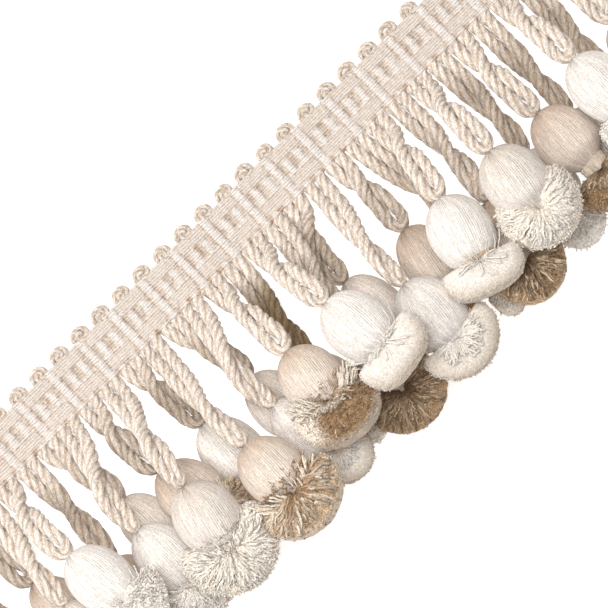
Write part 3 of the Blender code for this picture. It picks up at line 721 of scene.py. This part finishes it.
# its yarn, the bearing of its last strands in degrees, its half thickness, where on top its cut face
# begins, its tufts' half thickness, how many strands stand up over the head, and its nap in mm
RUFFS = {3: ("cream", 112, 6.5, 0.80, 0.46, 30, 1.0), 4: ("white", 88, 7.0, 0.25, 0.28, 10, 3.0),
         7: ("white", 108, 6.5, 0.70, 0.42, 20, 1.5), 8: ("beige", 108, 6.0, 0.85, 0.46, 90, 1.0),
         9: ("cream", 118, 7.5, 0.66, 0.50, 200, 1.2), 11: ("beige", 104, 7.0, 0.66, 0.56, 26, 0.8),
         13: ("satin", 98, 6.0, 0.60, 0.30, 0, 0.6), 14: ("tan", 112, 8.0, 0.16, 0.40, 100, 0.8),
         16: ("satin", 92, 6.5, 0.15, 0.24, 16, 0.5), 17: ("brown", 116, 5.5, 0.50, 0.36, 0, 0.5),
         19: ("muslin", 98, 6.0, 0.40, 0.28, 0, 0.6), 22: ("satin", 92, 6.5, 0.12, 0.24, 8, 0.5),
         23: ("brown", 114, 5.5, 0.60, 0.36, 0, 0.5), 24: ("cream", 130, 6.5, 0.84, 0.58, 0, 0.8),
         26: ("brown", 96, 6.5, 0.45, 0.36, 0, 1.0), 30: ("cream", 100, 6.5, 0.70, 0.42, 20, 1.0)}
PLAIN_YARNS = ("cream", "white", "brown")
PLAIN_RUFF = (90, 5.5, 0.7, 0.34, 0, 1.0)
# by tassel: length as a share of the usual, how square the rim is, loose curled yarns, how far out its
# shaggy locks reach, and the bearings between which a tan cut face turns pale by painted light on its lit
# side
CUT = {9: 1.18, 16: 0.90, 22: 0.80, 21: 0.70, 15: 0.85}
SQUARENESS = {16: 2.9, 22: 2.9, 14: 2.3}
CURLS = {19: 60, 16: 6, 22: 6}
SHAGGY = {9: 0.92, 11: 0.92, 14: 0.30, 17: 0.90, 23: 0.90}
PAINTED_LIT_SIDE = {14: (-0.70, -1.30)}
# tassels with ends that stand off the head, the shade of those ends, crowns lighter than their ruff,
# and crowns parted in the middle
FURRED = (9, 11, 14)
FURS = 260
FUR_RADIUS = 0.19
CURL_RADIUS = 0.30
FUR_TAN = {11: np.array([0.72, 0.56, 0.40]), 14: np.array([0.74, 0.60, 0.45])}
LIGHT_CROWNED = (8, 11, 14)
PARTED = (14,)
# tassels in the photograph, and the pile's ends by layer, in its top layers, and on a pillow
IN_PICTURE = range(6, 27)
PILE_ENDS = (90, 900, 500, 500)
PICTURED_PILE = 1250
SMOOTH_PILE = 300


def ruff_spot(ruff, bearing, out, level):
    """A ruff's point at a share of the way out from neck to rim along a bearing from the axis, at a
    level from -1 underneath to 1 on top. The rim is an ellipse, or squarer at a power over 2: 1 over
    the root of (cos / length)^power + (sin / width)^power. The half thickness is the root of
    1 - out^4, less at the neck, and both fall off toward the last bearing."""
    along, side, up = ruff.axes
    end = np.sqrt(np.clip(1 - (np.abs(bearing) / (ruff.spread + 0.06)) ** 8, 0, 1))
    ahead, aside = np.abs(np.cos(bearing) / ruff.length), np.abs(np.sin(bearing) / ruff.half_width)
    rim = (0.75 + 0.25 * end) / (ahead ** ruff.power + aside ** ruff.power) ** (1 / ruff.power)
    swell = ruff.shoulder + (ruff.thick - ruff.shoulder) * np.sin(np.minimum(out / 0.45, 1.0) * math.pi / 2)
    half = swell * np.sqrt(np.clip(1 - np.minimum(out, 1.0) ** 4, 0, 1)) * (0.3 + 0.7 * end)
    plan = rim * out
    return (ruff.neck + along * (plan * np.cos(bearing))[..., None]
            + side * (plan * np.sin(bearing))[..., None] + up * (half * level)[..., None])


def strand_rings(points, radius, corners=3):
    """Rings of thin strands along points (strands, rings, 3) with a radius for each ring."""
    forward = unit(np.gradient(points, axis=1))
    side = unit(np.cross(forward, (0.13, 0.21, 0.97)))
    rise = np.cross(side, forward)
    angle = np.arange(corners) / corners * 2 * math.pi
    return points[:, :, None] + radius[:, :, None, None] * (
        side[:, :, None] * np.cos(angle)[:, None] + rise[:, :, None] * np.sin(angle)[:, None])


def painted_lit_share(ruff, bearing, out):
    """How much painted light turns a cut face toward its end colour: fully on its lit side, and half so
    along a dark one's rim.
    """
    rim = (0.5 if ruff.dark else 0.0) * step_up(out, 0.88, 1.02)
    if ruff.number not in PAINTED_LIT_SIDE:
        return rim
    dark_till, pale_from = PAINTED_LIT_SIDE[ruff.number]
    patch = step_up(-bearing + 0.25 * np.cos(7.0 * out), -dark_till, -pale_from)
    return np.maximum(patch, rim)


def pillow_shade(ruff, bearing, out):
    """A smooth pillow is a little darker along its lower rim, which faces from the light."""
    low = step_up(np.cos(bearing), -0.1, 0.8) * step_up(out, 0.62, 1.0) * ruff.smooth
    return 1 - low[..., None] * np.array([0.22, 0.27, 0.33])


def fan_locks(ruff):
    """Centre lines of locks that lie out from the neck, two in three on top. Each keeps to its bearing
    as far as the cut face, with a sine wave across and one up that grow toward its end, and a crimp,
    the running sum of small random steps."""
    seeds, (along, side, up) = ruff.seeds, ruff.axes
    usual = (130 if ruff.layer > 0 else 42) * (0.35 if ruff.smooth else 1.0)
    count = round(usual * 0.45 / ruff.half_thick) * 3
    bearing = ruff.spread * seeds.uniform(-1.0, 1.0, (count, 1))
    on_top = np.arange(count)[:, None] % 3 > 0
    upper, lower = seeds.uniform(0.90, 1.08, (count, 1)), seeds.uniform(-0.9, 0.9, (count, 1))
    level = np.where(on_top, upper, lower)
    reach = np.where(on_top, ruff.face + (1.0 - ruff.face) * 0.6 * np.abs(bearing / ruff.spread) ** 3, 1.0)
    most = SHAGGY.get(ruff.number, ruff.face) / ruff.face * 1.04
    reach = np.minimum(reach * seeds.uniform(0.75, most, (count, 1)), 0.94 if ruff.shaggy else 1.0)
    share = np.linspace(0.0, 1.0, ruff.beads)[None]
    curve = bearing + seeds.normal(0, 0.10, (count, 1)) * share
    begin = 0.06 + seeds.uniform(0.0, 0.75, (count, 1)) ** 1.5 * (reach - 0.06) * ruff.shaggy
    line = ruff_spot(ruff, curve, begin + (reach - begin) * share, level)
    crimp = np.cumsum(seeds.normal(0, ruff.crimp, (count, ruff.beads, 3)), axis=1)
    across = side * np.cos(curve)[..., None] - along * np.sin(curve)[..., None]
    for way in (across, up):
        waves = share * seeds.uniform(1.1, 2.0, (count, 1)) + seeds.uniform(0, 1, (count, 1))
        sway = 0.8 * ruff.half_thick * (0.3 + share) * np.sin(2 * math.pi * waves)
        line = line + way * sway[..., None]
    return line + crimp * (0.4 + ruff.half_thick) * (0.8 if ruff.shaggy else 1.0)


def crown_locks(ruff):
    """Locks that stand up over the head's end: from the neck round a bend to a point over the ruff's
    top, (1 - t)^2 first + 2 t (1 - t) bend + t^2 last, and a crimp."""
    seeds, (along, side, up), count = ruff.seeds, ruff.axes, ruff.crown
    fan = seeds.uniform(-1.3, 1.3, (count, 1))
    if ruff.number in PARTED:
        fan = np.sign(fan) * (0.55 + 0.6 * np.abs(fan))
    lift = seeds.uniform(0.0, 1.0, (count, 1))
    first = (ruff.neck + side * (0.9 * ruff.start * np.sin(fan))
             + up * (0.9 * ruff.start * ruff.squash * np.cos(fan))
             + along * seeds.uniform(0.2, 2.0, (count, 1)))
    last = (ruff.neck + side * (0.85 * ruff.half_width * np.sin(fan)) + up * (ruff.thick + 0.5 + 1.5 * lift)
            - along * (0.5 + 5.5 * lift * np.abs(np.sin(fan)) ** 0.7))
    bend = (first + last) / 2 + along * 2.5 + up * 1.5
    t = np.linspace(0.0, 1.0, ruff.beads)[None, :, None]
    line = first[:, None] * (1 - t) ** 2 + bend[:, None] * 2 * t * (1 - t) + last[:, None] * t ** 2
    return line + np.cumsum(seeds.normal(0, 0.22, (count, ruff.beads, 3)), axis=1)


def loose_curls(ruff):
    """Loose curled yarns over the top: each swings out and back as a sine, turns aside as the square
    of its way, and is arched up off the ruff."""
    seeds, count = ruff.seeds, CURLS.get(ruff.number, 0)
    swirl = np.linspace(0.0, 1.0, ruff.beads)[None]
    bearing = seeds.uniform(-1.35, 1.35, (count, 1)) + seeds.uniform(-0.35, 0.35, (count, 1)) * swirl ** 2
    reach = seeds.uniform(0.25, 0.55, (count, 1))
    out = 0.12 + reach * np.sin(swirl * seeds.uniform(1.5, 2.6, (count, 1)))
    lifted = 0.3 + 0.4 * np.sin(math.pi * swirl)
    return ruff_spot(ruff, bearing, out, 1.0) + ruff.axes[2] * lifted[..., None]


def furred_ends(ruff):
    """Short straight ends that stand off the head's lower part, up and outward from its outline, each
    leaning its own way."""
    seeds, (along, side, up) = ruff.seeds, ruff.axes
    count = FURS if ruff.number in FURRED else 0
    fan = seeds.uniform(-1.4, 1.4, (count, 1))
    back = seeds.uniform(-2.5, 5.0, (count, 1))
    outline = (ruff.neck_share + 0.1, ruff.neck_share, 0.66, 0.83, 0.94)
    swell = ruff.girth * np.interp(back, (-2.5, 0.0, 1.6, 3.0, 5.0), outline)
    first = (ruff.neck + side * (swell * np.sin(fan)) + up * (swell * ruff.squash_head * np.cos(fan))
             - along * back)
    lean = (seeds.normal(0, 0.35, (count, 3)) + up * 0.65 + side * np.sin(fan)
            + along * seeds.uniform(-0.9, 0.9, (count, 1)))
    reach = seeds.uniform(1.2, 3.2, (count, 1)) * np.linspace(0, 1, ruff.beads)
    return first[:, None] + lean[:, None] * reach[..., None]


def ruff_strands(ruff):
    """A ruff's loose yarn as thin strands along its centre lines, thickest past the middle. Each goes
    from the neck's colour toward the end's by a random share."""
    locks, crown = fan_locks(ruff), crown_locks(ruff)
    curls, furs = loose_curls(ruff), furred_ends(ruff)
    line = np.concatenate([locks, crown, curls, furs])
    count, after_crown = len(line), len(locks) + len(crown)
    t = np.linspace(0.0, 1.0, ruff.beads)[None] + np.zeros((count, 1))
    width = ruff.half_thick * ruff.seeds.uniform(0.8, 1.2, (count, 1))
    width[after_crown:] = CURL_RADIUS
    width[after_crown + len(curls):] = FUR_RADIUS
    radius = width * np.interp(t[:1], (0.0, 0.2, 0.7, 1.0), (0.8, 1.0, 1.05, 0.75))
    line[..., 2] = np.maximum(line[..., 2], radius)
    tone = ruff.seeds.uniform(0.70 if ruff.dark else 0.93, 1.10, (count, 1, 1, 1))
    mixed = step_up(t, 0.0, 0.8) * ruff.seeds.uniform(0.0 if ruff.dark else 0.5, 1.1, (count, 1))
    tint = (ruff.at_neck + (ruff.at_end - ruff.at_neck) * mixed[..., None, None]) * tone
    if ruff.number in FURRED:
        fur_dye = ruff.at_end * FUR_TAN[ruff.number] if ruff.number in FUR_TAN else ruff.yarn
        tint[after_crown:] = fur_dye * tone[after_crown:]
    if ruff.number in LIGHT_CROWNED:
        tint[len(locks):after_crown] = ruff.at_end * np.maximum(tone[len(locks):after_crown], 0.92)
    return strand_rings(line, radius), tint, 3.0, t * RUFF_LENGTH


def ruff_core(ruff):
    """The close yarn under the strands: a ring for each bearing, from the neck over the top to the rim
    and back below, with a random nap, painted lighter where it stands out and darker where it sinks. It
    has the pile's colour from the face on, with the same painted light on a lit side and rim."""
    columns, half_ring = (72 if ruff.smooth else 50, 20) if ruff.layer > 0 else (26, 10)
    bearing = np.linspace(-ruff.spread, ruff.spread, columns)[:, None]
    quarter = np.sin(np.linspace(0.05, math.pi / 2, half_ring))
    out = np.concatenate([quarter, quarter[-2::-1]])[None]
    level = np.concatenate([np.full(half_ring, 0.90), np.full(half_ring - 1, -0.90)])[None]
    core = ruff_spot(ruff, bearing, out * 0.955, level)
    rough = 0.35 if ruff.smooth else 1.0
    nap = ruff.seeds.normal(0, 0.10 * rough, out.shape + (1,))
    nap = nap + ruff.seeds.normal(0, 0.15 * rough, core.shape[:2] + (1,))
    core = core + unit(core - ruff.centre) * nap
    core[..., 2] = np.maximum(core[..., 2], 0.3)
    # painted light: the cut face turns toward the end colour on its lit side and along a dark one's rim
    pale = painted_lit_share(ruff, bearing, out)
    cut_tint = ruff.pile_dye + (ruff.at_end * 0.94 - ruff.pile_dye) * pale[..., None]
    to_face = step_up(out, ruff.face * 0.75, ruff.face * 0.95)[..., None]
    # painted light and shade on the nap: lighter where it stands out, darker where it sinks
    tint = (ruff.at_neck + (cut_tint - ruff.at_neck) * to_face) * (1 + 0.5 * nap) * 0.95
    tint = tint * pillow_shade(ruff, bearing, out)
    return core[None], tint[None], 40.0, bearing.T * 8.0


def cut_pile(ruff):
    """The cut face's pile: short ends out from the centre, most on top. Each has its own tone, and in
    a dark yarn two pairs of crossed sines cloud it."""
    seeds, count = ruff.seeds, PILE_ENDS[ruff.layer]
    count = PICTURED_PILE if ruff.layer > 1 and ruff.number in IN_PICTURE else count
    count = SMOOTH_PILE if ruff.smooth else count
    bearing = ruff.spread * seeds.uniform(-0.98, 0.98, (count, 1))
    nearest = 0.8 * (1.18 if ruff.smooth else ruff.face)
    out = np.sqrt(seeds.uniform(nearest ** 2, 1.0, (count, 1)))
    level = seeds.uniform(0.0, 1.0, (count, 1)) ** 0.25
    level = np.where(out < 0.86, np.maximum(level, 0.97), level)
    t = np.array([[0.0, 0.5, 1.0]])
    line = ruff_spot(ruff, bearing, out * 0.96, level * 0.93)
    reach = t * ruff.nap * seeds.uniform(0.35, 1.0, (count, 1))
    line = line + unit(line - ruff.centre) * reach[..., None]
    line = line + seeds.normal(0, 0.16, (count, 1, 3)) * t[..., None]
    radius = seeds.uniform(0.20, 0.30, (count, 1)) * np.array([1.0, 1.0, 0.8])
    line[..., 2] = np.maximum(line[..., 2], radius)
    tone = seeds.uniform(0.60 if ruff.dark else 0.92, 1.45 if ruff.dark else 1.08, (count, 1, 1, 1))
    # painted light: the pile turns toward the end colour on its lit side and along a dark one's rim
    pale = painted_lit_share(ruff, bearing + seeds.normal(0, 0.08, bearing.shape), out)
    cut_tint = ruff.pile_dye + (ruff.at_end - ruff.pile_dye) * pale[..., None]
    cloud = (0.25 * np.sin(3.1 * bearing + 0.6) * np.sin(9.0 * out + 1.3 * bearing)
             + 0.20 * np.sin(11.0 * bearing) * np.sin(23.0 * out + 2.0)) * ruff.dark
    tone = 1 + (tone - 1 + cloud[..., None, None]) * (1 - 0.85 * pale[..., None, None])
    tone = tone * pillow_shade(ruff, bearing, out)[:, None]
    return strand_rings(line, radius), cut_tint[:, None] * tone, 1.5, out + t


for number, layer, shift, reach, girth, swing, rise, half_width in TASSELS:
    middle, head_axes, ruff_axes = tassel_lay[number]
    yarn, slot = YARNS[number % 3]
    neck_share = 0.66 if number in WIDE_NECKED else 0.50
    tie_dye, half_tie = TIES.get(number, (yarn * 0.92, TIE_HALF))
    squash_head, squash = SQUASH_HEAD[layer], SQUASH_RUFF[layer]
    made_head(number, girth, squash_head, neck_share, tie_dye, half_tie)

    plain = (PLAIN_YARNS[number % 3],) + PLAIN_RUFF
    dyes, spread, thick, face, half_thick, crown, nap = RUFFS.get(number, plain)
    at_neck, at_end, pile_dye = RUFF_DYES[dyes]
    start = (neck_share - 0.02) * girth
    neck = middle + head_axes[0] * (HEAD_LENGTH - HEAD_MIDDLE)
    neck = neck + ruff_axes[0] * (2 * half_tie - TIE_HALF if number in TIES else 0.0)
    ruff = SimpleNamespace(
        number=number, layer=layer, seeds=np.random.default_rng(100 + number), neck=neck, axes=ruff_axes,
        centre=neck + ruff_axes[0] * 3.0 - ruff_axes[2] * 9.0, length=RUFF_LENGTH * CUT.get(number, 1.0),
        half_width=half_width, thick=min(thick, half_width * squash), spread=math.radians(spread),
        shoulder=start * (1.12 * squash_head if number in FURRED else squash),
        power=SQUARENESS.get(number, 2.0), start=start, squash=squash, squash_head=squash_head, girth=girth,
        neck_share=neck_share, face=face, half_thick=half_thick, crown=crown, nap=nap, yarn=yarn,
        at_neck=at_neck, at_end=at_end, pile_dye=pile_dye, smooth=dyes in SMOOTH_YARNS,
        dark=dyes in DARK_YARNS, shaggy=number in SHAGGY, crimp=CRIMP.get(dyes, PLAIN_CRIMP),
        beads=8 if number in IN_PICTURE and layer > 0 else 5)
    parts = [ruff_strands(ruff), ruff_core(ruff), cut_pile(ruff)]
    made_piece(f"cut_ruff_{number:02d}", *joined(parts), satin_yarn if ruff.smooth else ruff_yarn, slot)
